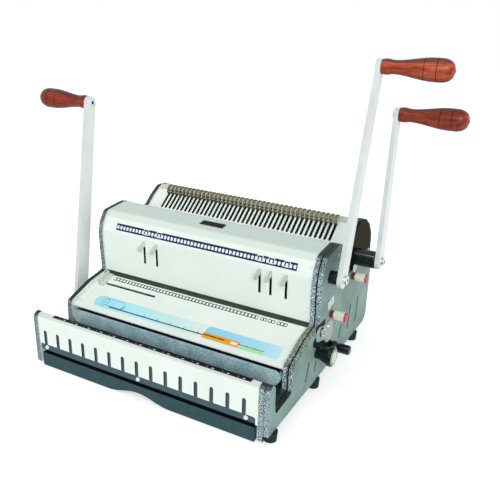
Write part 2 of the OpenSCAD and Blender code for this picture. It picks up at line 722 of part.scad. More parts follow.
module closer_shaft() {
    color([0.70, 0.71, 0.72]) placed() {
        rod_x(-out_x - closer_hub_l, out_x + closer_hub_l + half_w + plate_t - slide_gap, shaft_r, closer_c);
        rod_x(-out_x - closer_hub_l - bar_t, bar_t + 1, spigot_r, closer_c);
    }
}
module closer_gears() {
    from = -1;
    to = ceil(closer_swing / 360 * closer_teeth) + 1;
    color([0.45, 0.46, 0.46]) placed() {
        for (x = [-rack_x - rack_w, rack_x])
            difference() {
                across(x, rack_w) translate(closer_c) rotate(90) {
                    polygon(concat([[0, 0]], gear_points(closer_mod, closer_teeth, -to, -from)));
                    circle(shaft_r + 4);
                }
                rod_x(x - 1, rack_w + 2, shaft_r, closer_c);
            }
    }
}
module closer_hub() {
    color([0.06, 0.06, 0.07]) placed() mirror([1, 0, 0])
        hub(out_x + slide_gap, closer_hub_l - slide_gap, shaft_r + 2, closer_c);
}
module closer_lever() {
    color([0.90, 0.94, 0.91]) placed() mirror([1, 0, 0])
        lever_bar(out_x + closer_hub_l, closer_c, closer_lever_l, closer_lean);
}
module closer_grip() {
    color([0.60, 0.24, 0.13]) placed() mirror([1, 0, 0])
        grip(out_x + closer_hub_l + bar_t, closer_c, closer_lever_l, closer_lean);
}
module closer_bolt() {
    color([0.10, 0.10, 0.10]) placed() mirror([1, 0, 0])
        lever_bolts(out_x + closer_hub_l, closer_c, closer_lever_l, closer_lean);
}
module closer_jaw() {
    jaw_l = inner_w - 8;
    color([0.45, 0.49, 0.48]) placed() translate([0, jaw_y + jaw_t, jaw_z]) rotate([90, 0, 0])
        linear_extrude(height = jaw_t) {
            square([jaw_l - jaw_h, jaw_h], center = true);
            for (s = [-1, 1])
                translate([s * (jaw_l - jaw_h) / 2, 0]) circle(jaw_h / 2);
        }
}
module jaw_racks() {
    p = PI * closer_mod;
    from = -2;
    to = floor((rack_end_y - closer_c[0]) / p - 1);
    color([0.55, 0.56, 0.56]) placed() {
        for (s = [0, 1])
            mirror([s, 0, 0]) {
                translate([rack_x, jaw_y + jaw_t, rack_root_z])
                    cube([rack_w, rack_end_y - jaw_y - jaw_t, rack_top_z - rack_root_z]);
                translate([rack_x, jaw_y + jaw_t, rack_root_z + 1 + slide_gap])
                    cube([rack_w + 8, rack_end_y - jaw_y - jaw_t, rack_top_z - rack_root_z - 1 - slide_gap]);
                across(rack_x, rack_w) translate([closer_c[0], rack_z])
                    polygon(concat(rack_points(closer_mod, from, to),
                        [[(to + 1) * p, 1.25 * closer_mod + 0.5], [from * p, 1.25 * closer_mod + 0.5]]));
            }
    }
}

module comb_shaft() {
    color([0.70, 0.71, 0.72]) placed() {
        rod_x(-half_w - plate_t + slide_gap, half_w + plate_t - slide_gap + out_x + comb_hub_l, shaft_r, comb_c);
        rod_x(out_x + comb_hub_l - 1, bar_t + 1, spigot_r, comb_c);
    }
}
module comb_gears() {
    color([0.45, 0.46, 0.46]) placed() {
        for (x = [-rake_rack_x - rake_rack_w, rake_rack_x])
            difference() {
                across(x, rake_rack_w) translate(comb_c) rotate(90 + comb_a)
                    polygon(gear_points(comb_mod, comb_teeth, 0, comb_teeth - 1));
                rod_x(x - 1, rake_rack_w + 2, shaft_r, comb_c);
            }
    }
}
module comb_hub() {
    color([0.06, 0.06, 0.07]) placed()
        hub(comb_face + slide_gap, out_x + comb_hub_l - comb_face - slide_gap, shaft_r + 6, comb_c);
}
module comb_lever() {
    color([0.90, 0.94, 0.91]) placed() lever_bar(out_x + comb_hub_l, comb_c, comb_lever_l, comb_lean);
}
module comb_grip() {
    color([0.60, 0.24, 0.13]) placed() grip(out_x + comb_hub_l + bar_t, comb_c, comb_lever_l, comb_lean);
}
module comb_bolt() {
    color([0.80, 0.81, 0.82]) placed() lever_bolts(out_x + comb_hub_l, comb_c, comb_lever_l, comb_lean);
}
module comb_rake() {
    p = PI * comb_mod;
    from = -2;
    to = ceil(comb_travel / p) + 1;
    rake_w = (hook_n - 1) * hook_pitch + 14;
    color([0.45, 0.46, 0.46]) placed() on_comb() {
        translate([-rake_w / 2, rake_s0, rake_top_n - 6]) cube([rake_w, rake_s1 - rake_s0, 6]);
        for (x = [-rake_rack_x - rake_rack_w, rake_rack_x]) {
            translate([x, comb_s + from * p, comb_root_n])
                cube([rake_rack_w, rake_s1 - comb_s - from * p, rake_top_n - comb_root_n]);
            across(x, rake_rack_w) translate([comb_s, comb_pitch_n])
                polygon(concat(rack_points(comb_mod, from, to),
                    [[(to + 1) * p, 1.25 * comb_mod + 0.5], [from * p, 1.25 * comb_mod + 0.5]]));
        }
    }
}
module comb_hooks() {
    path = round_open([[hook_s, rake_top_n], [hook_s, 9], [hook_s + 7.5, 9], [hook_s + 7.5, 3]], 2.6);
    color([0.50, 0.45, 0.22]) placed() on_comb() {
        for (i = [0 : hook_n - 1])
            across((i - (hook_n - 1) / 2) * hook_pitch - hook_w / 2, hook_w) polygon(ribbon(path, 2));
    }
}

module knob(c, points) {
    turned(out_x, c, concat([[0, slide_gap - cover_t], [spindle_r, slide_gap - cover_t], [spindle_r, slide_gap]], points));
}
module gap_knob() {
    color([0.06, 0.06, 0.07]) placed() knob(gap_knob_c, [[9, slide_gap], [9, 6], [8, 7], [9.5, 8], [13, 18],
        [15, 21], [15.3, 23], [15.3, 26], [14.3, 27], [0, 27]]);
}
module gap_knob_cap() {
    color([0.90, 0.92, 0.90]) placed() turned(out_x, gap_knob_c, [[0, 27], [13.2, 27], [12.7, 28], [0, 28]]);
}
module release_knob() {
    color([0.06, 0.06, 0.07]) placed() knob(release_knob_c, concat([[5.5, slide_gap]],
        [for (i = [-3 : 3]) [9 * cos(i * 18), 8 + 9 * sin(i * 18)]], [[7.5, 16], [7.5, 32], [6, 34], [0, 34]]));
}
module margin_knob(c) {
    l = margin_knob_l;
    knob(c, [[5, slide_gap], [6, 1.5], [6, l - 19], [7.5, l - 18], [7.5, l - 4.5], [6.6, l - 3.8], [7.5, l - 3],
        [7.5, l - 1], [6.5, l], [0, l]]);
}
module front_margin_knob() {
    color([0.88, 0.84, 0.74]) placed() margin_knob(margin_front_c);
}
module rear_margin_knob() {
    color([0.88, 0.84, 0.74]) placed() margin_knob(margin_rear_c);
}

module edge_guide() {
    x = guide_slot_x0 + slide_gap;
    u0 = guide_slot_u - guide_slot_w / 2 + slide_gap;
    neck = guide_slot_w - 2 * slide_gap;
    color([0.85, 0.87, 0.86]) placed() on_deck() {
        translate([x, u0, -sheet_t - slide_gap - 1]) cube([10, neck, sheet_t + 2 * slide_gap + 2]);
        translate([x, u0 - 3, -sheet_t - slide_gap - 2]) cube([10, neck + 6, 2]);
        translate([x, guide_slot_u - 8, slide_gap]) cube([10, 30, 1.6]);
        translate([x, guide_slot_u - 8, slide_gap]) cube([1.6, 30, 9]);
    }
}
module chip_drawer() {
    floor_z = sheet_t + slide_gap;
    color([0.50, 0.53, 0.53]) placed() difference() {
        translate([-drawer_w / 2, front_y + drawer_front_t, floor_z]) cube([drawer_w, drawer_d, chip_h]);
        translate([-drawer_w / 2 + drawer_wall, front_y + drawer_front_t + drawer_wall, floor_z + drawer_wall])
            cube([drawer_w - 2 * drawer_wall, drawer_d - 2 * drawer_wall, chip_h]);
    }
}
module drawer_front() {
    w = inner_w - 2 * drawer_side;
    n = 24;
    arch = [for (i = [0 : n]) [arch_x - arch_w / 2 + arch_w * i / n, arch_h * (1 - cos(360 * i / n)) / 2]];
    color([0.25, 0.33, 0.36]) placed() translate([0, front_y + drawer_front_t, drawer_bottom]) rotate([90, 0, 0])
        linear_extrude(height = drawer_front_t)
            polygon(concat([[-w / 2, 0]], arch, [[w / 2, 0], [w / 2, drawer_h], [-w / 2, drawer_h]]));
}
module die_pull(k) {
    x = pull_x[k - 1];
    s = pull_slot_s1 - slide_gap - pull_h;
    w = pull_slot_w - 2 * slide_gap;
    back = -sheet_t - slide_gap;
    color([0.80, 0.81, 0.82]) placed() on_cover() {
        translate([x - w / 2, s, back - 1]) cube([w, pull_h, 2 - back]);
        translate([x - 5, s - 2, back - 1.6]) cube([10, pull_h + 4, 1.6]);
        across(x - w / 2, w) polygon(round_closed([[s, 0.5], [s + pull_h, 0.5], [s + pull_h, 3], [s + 2, pull_out],
            [s - 5, pull_out - 1.5], [s, 3]], 1.5));
    }
}
module die_pull_1() { die_pull(1); }
module die_pull_2() { die_pull(2); }
module die_pull_3() { die_pull(3); }
module die_pull_4() { die_pull(4); }
module die_pull_5() { die_pull(5); }

base_plate();
left_frame_plate();
right_frame_plate();
left_side_cover();
right_side_cover();
left_comb_cover();
right_comb_cover();
front_plate();
wire_holder_bar();
front_screws();
lower_deck();
upper_cover();
comb_table();
comb_rail();
rear_cover();
die_plate();
guide_plate();
guide_posts();
closer_rails();
shaft_bushes();
side_screws();
link_plate();
feet();
punch_bar();
punch_pins();
punch_shaft();
punch_hub();
punch_lever();
punch_grip();
punch_bolt();
closer_shaft();
closer_gears();
closer_hub();
closer_lever();
closer_grip();
closer_bolt();
closer_jaw();
jaw_racks();
comb_shaft();
comb_gears();
comb_hub();
comb_lever();
comb_grip();
comb_bolt();
comb_rake();
comb_hooks();
gap_knob();
gap_knob_cap();
release_knob();
front_margin_knob();
rear_margin_knob();
edge_guide();
chip_drawer();
drawer_front();
die_pull_1();
die_pull_2();
die_pull_3();
die_pull_4();
die_pull_5();
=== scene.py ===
"""Looks of the desk coil binding machine: finishes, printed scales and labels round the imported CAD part."""

import json
import math

import bmesh
import bpy
from mathutils import Matrix, Vector


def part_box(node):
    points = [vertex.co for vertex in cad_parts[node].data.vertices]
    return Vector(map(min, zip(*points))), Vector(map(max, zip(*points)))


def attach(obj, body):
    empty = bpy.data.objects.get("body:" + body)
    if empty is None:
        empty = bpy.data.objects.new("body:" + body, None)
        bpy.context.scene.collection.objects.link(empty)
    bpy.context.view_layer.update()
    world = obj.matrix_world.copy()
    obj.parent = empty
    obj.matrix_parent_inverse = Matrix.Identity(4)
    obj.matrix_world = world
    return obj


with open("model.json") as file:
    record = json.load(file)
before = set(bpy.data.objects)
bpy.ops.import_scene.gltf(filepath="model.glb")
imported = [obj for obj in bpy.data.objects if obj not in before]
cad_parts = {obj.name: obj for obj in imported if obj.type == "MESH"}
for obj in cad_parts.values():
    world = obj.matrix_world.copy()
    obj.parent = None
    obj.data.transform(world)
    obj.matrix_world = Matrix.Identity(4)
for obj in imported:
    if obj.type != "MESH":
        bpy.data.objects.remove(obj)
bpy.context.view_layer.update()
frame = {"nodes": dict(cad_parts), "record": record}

# ---------------------------------------------------------------- places

MM = 0.001  # the frame is in metres; the places and sizes below are in mm, and turns are in radians
# faces across the machine: Y behind the front plate, Z over the base, and the slope in degrees
DECK = (75.0, 59.3, 18.8)
BROW = (159.2, 165.0, 66.0)
COVER_TOP = (182.9, 194.0, 7.5)
FLANGE = (0.0, 70.0, 0.0)
COMB = (289.5, 175.2, 37.0)

front_low, front_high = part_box("front_plate")
side_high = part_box("right_side_cover")[1]
base_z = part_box("base_plate")[0][2]
middle_x = (front_low[0] + front_high[0]) / 2
ORIGIN = {"X": middle_x, "Y": front_low[1], "Z": base_z}  # where the mm along each axis start


class Face:
    """A flat face of the machine: point(a, b, h) is a mm across it, b mm up it and h mm off it."""

    def __init__(self, origin, across, up):
        self.origin, self.across, self.up = Vector(origin), Vector(across), Vector(up)
        self.out = self.across.cross(self.up)

    def point(self, a, b, h):
        return self.origin + (self.across * a + self.up * b + self.out * h) * MM


def sloped(y, z, angle):
    """The face across the machine that starts at Y, Z in mm and rises to the back at an angle."""
    angle = math.radians(angle)
    return Face((middle_x, front_low[1] + y * MM, base_z + z * MM), (1, 0, 0), (0, math.cos(angle), math.sin(angle)))


deck, brow, cover_top, flange, comb = (sloped(*place) for place in (DECK, BROW, COVER_TOP, FLANGE, COMB))
side = Face((side_high[0], front_low[1], base_z), (0, 1, 0), (0, 0, 1))


# ---------------------------------------------------------------- finishes

NOISE = (0.3, 0.7)  # the band that holds most of a noise's values
GRIP_GROOVES = (0.6, 0.77)  # shares of a grip's length
GROOVE = (0.004, 0.009)  # a groove's half width at its floor and at its mouth, in the same shares
CAP_WHITE = 9.5  # radius of the white on the gap knob's cap
BOLT_SOCKET = 2.6  # radius of the socket in the closer lever's bolt
# each pair is where a finish changes, and the change runs from the first distance to the second
KNOB_TIP = (3.2, 2.6)  # pink of a margin knob, from its end
KNOB_ROOT = (6.2, 5.6)  # dark red of a margin knob, a red ring with painted shade, from the side cover
HALVES = (-10, 10)  # left half to right half
DECK_EDGE_START, DECK_EDGE_END = (74, 78), (160, 156)  # the plates' edges along the deck
SHADE_UP, SHADE_BACK = (135, 195), (250, 190)  # painted shade on the side paint under the top front
PLATE_SEAM = 8.0  # from a side cover's outer face in to its seam with the frame plate
SEAM_FADE = (0.7, 1.6)  # from the seam out
SEAM_START = (19, 22)  # fainter seam on the front bracket to full seam
LIP_END = (155.0, 154.6)  # white lip of the die plate
TOP_EDGE = 0.5  # width of the change at the front of a painted-shade top
JAW_TOP, DRAWER_TOP = 75, -5  # where the painted shade on the tops starts, the shadow of the gaps above them


def srgb(red, green, blue):
    """A colour seen on screen, 0 to 255 a channel, as the linear values that a shader takes."""
    def linear(v):
        v /= 255
        return v / 12.92 if v <= 0.04045 else ((v + 0.055) / 1.055) ** 2.4
    return (linear(red), linear(green), linear(blue), 1.0)


WHITE = (srgb(240, 249, 242), srgb(231, 243, 235))
# painted shade for the walls of cuts
CUT_SHADE = srgb(16, 18, 18)


class Finish:
    """A procedural material: a Principled shader and the nodes that feed it, in the part's own metres."""

    def __init__(self, name, **sockets):
        self.material = bpy.data.materials.new(name)
        self.material.use_nodes = True
        self.tree = self.material.node_tree
        self.shader = self.tree.nodes["Principled BSDF"]
        for socket, value in sockets.items():
            self.shader.inputs[socket.replace("_", " ")].default_value = value
        self.place = self.node("ShaderNodeTexCoord").outputs["Object"]

    def node(self, kind, inputs=(), **settings):
        made = self.tree.nodes.new(kind)
        for key, value in settings.items():
            setattr(made, key, value)
        for key, value in dict(inputs).items():
            self.join(made.inputs[key], value)
        return made

    def join(self, socket, value):
        """Links an output to a socket, or sets the socket to a plain value."""
        if isinstance(value, bpy.types.NodeSocket):
            self.tree.links.new(value, socket)
        else:
            socket.default_value = value

    def feed(self, socket, value):
        self.join(self.shader.inputs[socket], value)

    def noise(self, scale, detail=3.0, stretch=None, rough=0.5):
        place = self.place
        if stretch:
            place = self.node("ShaderNodeMapping", {"Vector": place, "Scale": stretch}).outputs["Vector"]
        return self.node("ShaderNodeTexNoise", {"Vector": place, "Scale": scale, "Detail": detail,
                                                "Roughness": rough}).outputs["Fac"]

    def creases(self, scale):
        return self.node("ShaderNodeTexVoronoi", {"Vector": self.place, "Scale": scale},
                         feature="DISTANCE_TO_EDGE").outputs["Distance"]

    def math(self, operation, a, b=0.0):
        return self.node("ShaderNodeMath", {0: a, 1: b}, operation=operation).outputs["Value"]

    def vector(self, operation, output, *inputs):
        return self.node("ShaderNodeVectorMath", dict(enumerate(inputs)), operation=operation).outputs[output]

    def blend(self, a, b, share):
        """Two values added up: a share of the first, and the rest of the second."""
        return self.math("ADD", self.math("MULTIPLY", a, share), self.math("MULTIPLY", b, 1 - share))

    def along(self, axis):
        return self.node("ShaderNodeSeparateXYZ", {"Vector": self.place}).outputs[axis]

    def facing(self, axis):
        normal = self.node("ShaderNodeTexCoord").outputs["Normal"]
        return self.node("ShaderNodeSeparateXYZ", {"Vector": normal}).outputs[axis]

    def spread(self, value, low, high, to_low=0.0, to_high=1.0):
        return self.node("ShaderNodeMapRange", {"Value": value, "From Min": low, "From Max": high,
                                                "To Min": to_low, "To Max": to_high}).outputs["Result"]

    def zone(self, axis, low, high, to_low=0.0, to_high=1.0):
        """A spread between two places in mm along an axis: from the middle, the front plate or the base."""
        start = ORIGIN[axis]
        return self.spread(self.along(axis), start + low * MM, start + high * MM, to_low, to_high)

    def either_way(self, axis, low, high, to_high=1.0):
        """A spread of how squarely a surface faces along an axis, either way."""
        return self.spread(self.math("ABSOLUTE", self.facing(axis)), low, high, 0.0, to_high)

    def ramp(self, value, *stops):
        made = self.node("ShaderNodeValToRGB", {"Fac": value})
        points = made.color_ramp.elements
        while len(points) < len(stops):
            points.new(0.5)
        for point, (position, colour) in zip(points, stops):
            point.position, point.color = position, colour
        return made.outputs["Color"]

    def tones(self, value, shade, colour):
        """From a shade to a colour over the band of a noise."""
        return self.ramp(value, *zip(NOISE, (shade, colour)))

    def mix(self, share, a, b, blend="MIX"):
        made = self.node("ShaderNodeMix", data_type="RGBA", blend_type=blend)
        for key, value in ((0, share), (6, a), (7, b)):
            self.join(made.inputs[key], value)
        return made.outputs[2]

    def tinted(self, share, colour, tint):
        """A colour, multiplied by a tint to the extent of a share."""
        return self.mix(share, colour, self.mix(1.0, colour, tint, "MULTIPLY"))

    def roughness(self, value, low, high, band=NOISE):
        self.feed("Roughness", self.spread(value, *band, low, high))

    def bump(self, height, strength, depth):
        made = self.node("ShaderNodeBump", {"Height": height, "Strength": strength, "Distance": depth})
        self.feed("Normal", made.outputs["Normal"])


def paint(name, colour, shade, roughness=0.38, cuts=None, tops=None):
    """Powder coat: a slow drift of tone, fine mottling and a light orange peel.
    The walls of cuts, which face left and right, and the tops take painted shade of their own where colours for it
    are given."""
    finish = Finish(name, Specular_IOR_Level=0.25)
    drift, speck = finish.noise(14, detail=2), finish.noise(900, detail=2)
    tone = finish.tones(finish.blend(drift, speck, 0.75), shade, colour)
    # painted shade: the tops take the colour given for them
    if tops:
        tone = finish.mix(finish.spread(finish.facing("Z"), 0.75, 0.95), tone, tops)
    # painted shade: the walls of cuts near black
    if cuts:
        tone = finish.mix(finish.either_way("X", 0.5, 0.7), tone, cuts)
    finish.feed("Base Color", tone)
    finish.roughness(finish.noise(60), roughness - 0.05, roughness + 0.07)
    finish.bump(finish.noise(1400, detail=2), strength=0.12, depth=0.0002)
    return finish


def hammertone(name, faces):
    """Hammered paint on the plates' edges: pale flakes in dark creases, much darker with painted shade where an edge
    looks up, warmer along the deck's right edge, and greyer on the left plates. A dark seam parts frame and cover.
    The big faces left and right take the two colours of faces(finish): towards the middle, and outward."""
    finish = Finish(name, Specular_IOR_Level=0.15)
    crease = finish.creases(760)
    blotch = finish.noise(540, detail=4, rough=0.7)
    level = finish.math("ADD", finish.spread(crease, 0.0, 0.4, -0.1, 0.4),
                        finish.spread(blotch, 0.32, 0.68, -0.05, 0.75))
    flakes = finish.ramp(level, (0.16, srgb(16, 28, 32)), (0.38, srgb(104, 132, 138)),
                         (0.6, srgb(200, 224, 228)), (0.86, srgb(246, 255, 255)))

    deck_edge = finish.math("MULTIPLY", finish.zone("Y", *DECK_EDGE_START), finish.zone("Y", *DECK_EDGE_END))
    deck_edge = finish.math("MULTIPLY", deck_edge, finish.zone("X", *HALVES))
    warm = finish.math("MULTIPLY", deck_edge, finish.spread(finish.facing("Z"), 0.3, 0.5, 0.0, 0.6))
    flakes = finish.tinted(warm, flakes, srgb(255, 244, 206))
    # painted shade: edges that look up are darkened, less so along the deck's right edge
    painted_shade_up = finish.math("MULTIPLY", finish.spread(finish.facing("Z"), 0.3, 0.97),
                           finish.spread(deck_edge, 0.0, 1.0, 1.0, 0.25))
    flakes = finish.tinted(painted_shade_up, flakes, srgb(80, 85, 79))
    flakes = finish.tinted(finish.zone("X", *reversed(HALVES)), flakes, srgb(216, 219, 220))

    off_middle = finish.math("SUBTRACT", finish.along("X"), middle_x)
    off_seam = finish.math("SUBTRACT", finish.math("ABSOLUTE", off_middle),
                           side_high[0] - middle_x - PLATE_SEAM * MM)
    fade = finish.spread(finish.math("ABSOLUTE", off_seam), *(d * MM for d in SEAM_FADE), 1.0, 0.0)
    seam = finish.math("MULTIPLY", fade, finish.zone("Y", *SEAM_START, 0.35))
    flakes = finish.mix(seam, flakes, srgb(16, 20, 22))

    inner, outer = faces(finish)
    outward = finish.spread(finish.math("MULTIPLY", finish.facing("X"), off_middle), -0.05, 0.05)
    big_faces = finish.mix(outward, inner, outer)
    finish.feed("Base Color", finish.mix(finish.either_way("X", 0.6, 0.8), flakes, big_faces))
    finish.roughness(blotch, 0.42, 0.6)
    finish.bump(crease, strength=0.25, depth=0.0003)
    return finish


def frame_faces(finish):
    """White on the inside, like the covers that meet it there; bare dark paint under the side covers."""
    return (finish.tones(finish.noise(14, detail=2), srgb(226, 234, 228), srgb(238, 243, 238)),
            finish.tones(finish.noise(40), srgb(34, 40, 40), srgb(54, 62, 60)))


def side_faces(finish):
    """Smooth grey-green with a fine grain and soft blooms, and painted shade under the top front."""
    grain = finish.blend(finish.noise(22), finish.noise(800, rough=0.7), 0.45)
    green = finish.ramp(grain, (0.34, srgb(98, 130, 125)), (0.66, srgb(164, 191, 184)))
    # painted shade: the side paint darkens under the top front
    painted_shade_under_top = finish.math("MULTIPLY", finish.zone("Z", *SHADE_UP), finish.zone("Y", *SHADE_BACK))
    green = finish.tinted(painted_shade_under_top, green, srgb(168, 176, 171))
    return green, green


def lever_paint():
    """White paint, with painted shade giving a greyer tone on the bars' narrow edges."""
    finish = Finish("lever_paint", Specular_IOR_Level=0.25)
    drift = finish.noise(30)
    # painted shade: the narrow edges, facing left and right, take a greyer tone
    edges = finish.tones(drift, srgb(206, 215, 216), srgb(222, 230, 229))
    faces = finish.tones(drift, srgb(240, 249, 243), srgb(248, 254, 249))
    finish.feed("Base Color", finish.mix(finish.either_way("X", 0.5, 0.8), edges, faces))
    finish.roughness(drift, 0.32, 0.46)
    finish.bump(finish.noise(1400, detail=2), strength=0.1, depth=0.0002)
    return finish


def metal(name, colour, shade, roughness):
    """Worked metal with fine marks drawn out along X."""
    finish = Finish(name, Metallic=1.0)
    marks = finish.noise(1.0, stretch=(60, 1200, 1200))
    finish.feed("Base Color", finish.tones(marks, shade, colour))
    finish.roughness(marks, roughness * 0.75, roughness * 1.35, band=(0.25, 0.75))
    finish.bump(marks, strength=0.08, depth=0.0001)
    return finish


def plastic(name, colour, shade, roughness, coat=0.25):
    """Moulded plastic with faint flow marks."""
    finish = Finish(name, Specular_IOR_Level=0.1, Coat_Weight=coat, Coat_Roughness=0.06)
    flow = finish.noise(180)
    finish.feed("Base Color", finish.tones(flow, shade, colour))
    finish.roughness(flow, roughness * 0.8, roughness * 1.25)
    finish.bump(finish.noise(1600, detail=2), strength=0.05, depth=0.0001)
    return finish


def turned_grip(node, grip_tint):
    """Red-brown turned wood under clear lacquer: grain along X, painted shade above and below, and painted shade in
    two grooves.
    """
    finish = Finish(node + "_wood", Specular_IOR_Level=0.1, Coat_Weight=0.4, Coat_Roughness=0.34)
    fibre = finish.noise(1.0, detail=5, stretch=(28, 620, 620), rough=0.62)
    bands = finish.noise(1.0, detail=2, stretch=(16, 130, 130))
    wood = finish.ramp(finish.blend(fibre, bands, 0.5),
                       (0.33, srgb(72, 14, 6)), (0.5, srgb(160, 64, 36)), (0.68, srgb(214, 108, 68)))
    # painted shade: the wood darkens where it faces up or down
    wood = finish.tinted(finish.either_way("Z", 0.5, 0.96, 0.85), wood, srgb(108, 66, 72))
    # the grip's tint, painted shade on the closer grip
    wood = finish.mix(1.0, wood, grip_tint, "MULTIPLY")
    low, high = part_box(node)
    root, end = sorted((low[0], high[0]), key=abs)
    along = finish.spread(finish.along("X"), root, end)
    # painted shade: dark rings in the two grooves
    for groove in GRIP_GROOVES:
        off = finish.math("ABSOLUTE", finish.math("SUBTRACT", along, groove))
        wood = finish.mix(finish.spread(off, *GROOVE, 0.7, 0.0), wood, srgb(48, 12, 10))
    finish.feed("Base Color", wood)
    finish.roughness(fibre, 0.3, 0.5)
    finish.bump(fibre, strength=0.1, depth=0.0002)
    return finish


def round_end(name, axis_node, radius, inside, outside):
    """Paint of a round end: one pair of tones within a radius of a node's axis along X, another beyond it."""
    finish = Finish(name, Specular_IOR_Level=0.2)
    low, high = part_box(axis_node)
    axis = (0, (low[1] + high[1]) / 2, (low[2] + high[2]) / 2)
    from_axis = finish.vector("SUBTRACT", "Vector", finish.place, axis)
    distance = finish.vector("LENGTH", "Value", finish.vector("MULTIPLY", "Vector", from_axis, (0, 1, 1)))
    beyond = finish.spread(distance, (radius - 0.1) * MM, (radius + 0.1) * MM)
    grain = finish.noise(160)
    finish.feed("Base Color", finish.mix(beyond, finish.tones(grain, *inside), finish.tones(grain, *outside)))
    finish.roughness(finish.noise(90), 0.34, 0.48)
    return finish


def ringed_knob(name, node):
    """Cream knob with a pink end and a dark red root, a red ring with painted shade, by the distance along its own
    axis.
    """
    finish = Finish(name, Specular_IOR_Level=0.3)
    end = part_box(node)[1][0]
    x = finish.along("X")
    tip = finish.spread(x, *(end - d * MM for d in KNOB_TIP))
    root = finish.spread(x, *(side_high[0] + d * MM for d in KNOB_ROOT))
    colour = finish.tones(finish.noise(160), srgb(212, 214, 194), srgb(234, 236, 218))
    colour = finish.mix(tip, colour, finish.tones(finish.noise(300), srgb(168, 44, 84), srgb(206, 78, 118)))
    # the dark red root: partly a red ring, partly painted shade where the knob meets the side cover
    colour = finish.mix(root, colour, finish.tones(finish.noise(300), srgb(84, 26, 36), srgb(120, 48, 56)))
    finish.feed("Base Color", colour)
    finish.roughness(finish.noise(90), 0.3, 0.42)
    return finish


def print_ink(name, colour, shade):
    """Flat printing with a slight unevenness of ink."""
    finish = Finish(name, Specular_IOR_Level=0.04)
    finish.feed("Base Color", finish.tones(finish.noise(420), shade, colour))
    finish.roughness(finish.noise(80), 0.38, 0.52)
    return finish


def faded_print(name, x_from, x_to, *stops):
    """Printing whose colour drifts from one end of a label to the other."""
    finish = Finish(name, Specular_IOR_Level=0.2)
    wander = finish.spread(finish.noise(40), *NOISE, -0.04, 0.04)
    finish.feed("Base Color", finish.ramp(finish.math("ADD", finish.zone("X", x_from, x_to), wander), *stops))
    finish.roughness(finish.noise(80), 0.3, 0.42)
    return finish


def mottled(name, *stops, over=None, gloss=0.08):
    """Paint with a fine, soft mottle. over(finish, tone) lays another colour on a part of it."""
    finish = Finish(name, Specular_IOR_Level=gloss)
    mottle = finish.blend(finish.noise(520, detail=4, rough=0.6), finish.noise(60, detail=2), 0.8)
    tone = finish.ramp(mottle, *stops)
    finish.feed("Base Color", over(finish, tone) if over else tone)
    finish.roughness(mottle, 0.5, 0.66)
    finish.bump(mottle, strength=0.2, depth=0.0003)
    return finish


def painted_shade_top(colour, start):
    """For mottled: painted shade, a dark colour on what looks up, from start mm behind the front plate on."""
    def over(finish, tone):
        painted_shade_up = finish.spread(finish.facing("Z"), 0.5, 0.8)
        return finish.mix(finish.math("MULTIPLY", finish.zone("Y", start - TOP_EDGE, start), painted_shade_up), tone, colour)
    return over


def white_lip(finish, tone):
    """For mottled: white at the front of the die plate, where the deck runs on to the throat."""
    return finish.mix(finish.zone("Y", *LIP_END), tone, WHITE[1])


slots = {
    "frame_paint": hammertone("frame_paint", frame_faces),
    "side_paint": hammertone("side_paint", side_faces),
    "dark_paint": mottled("dark_paint", (0.35, srgb(26, 25, 12)), (0.65, srgb(48, 46, 26)), gloss=0.03),
    "white_paint": paint("white_paint", *WHITE, cuts=CUT_SHADE),
    "slate_paint": mottled("slate_paint", (0.35, srgb(62, 84, 92)), (0.65, srgb(84, 106, 114))),
    "link_paint": paint("link_paint", srgb(184, 199, 197), srgb(164, 181, 178)),
    "lever_paint": lever_paint(),
    "tool_steel": metal("tool_steel", srgb(150, 146, 130), srgb(104, 100, 88), 0.42),
    "bright_steel": metal("bright_steel", srgb(214, 216, 218), srgb(176, 180, 184), 0.28),
    "black_steel": metal("black_steel", srgb(66, 66, 68), srgb(36, 36, 38), 0.35),
    "chrome": metal("chrome", srgb(226, 228, 230), srgb(200, 203, 206), 0.14),
    "bush_brass": metal("bush_brass", srgb(104, 92, 66), srgb(70, 62, 44), 0.4),
    "hook_brass": metal("hook_brass", srgb(140, 134, 94), srgb(82, 78, 48), 0.36),
    "black_plastic": plastic("black_plastic", srgb(22, 36, 36), srgb(11, 19, 20), 0.2, 0.35),
    "pale_plastic": plastic("pale_plastic", srgb(226, 234, 228), srgb(208, 218, 212), 0.32),
    "foot_rubber": plastic("foot_rubber", srgb(40, 60, 66), srgb(24, 40, 46), 0.7, 0.0),
}
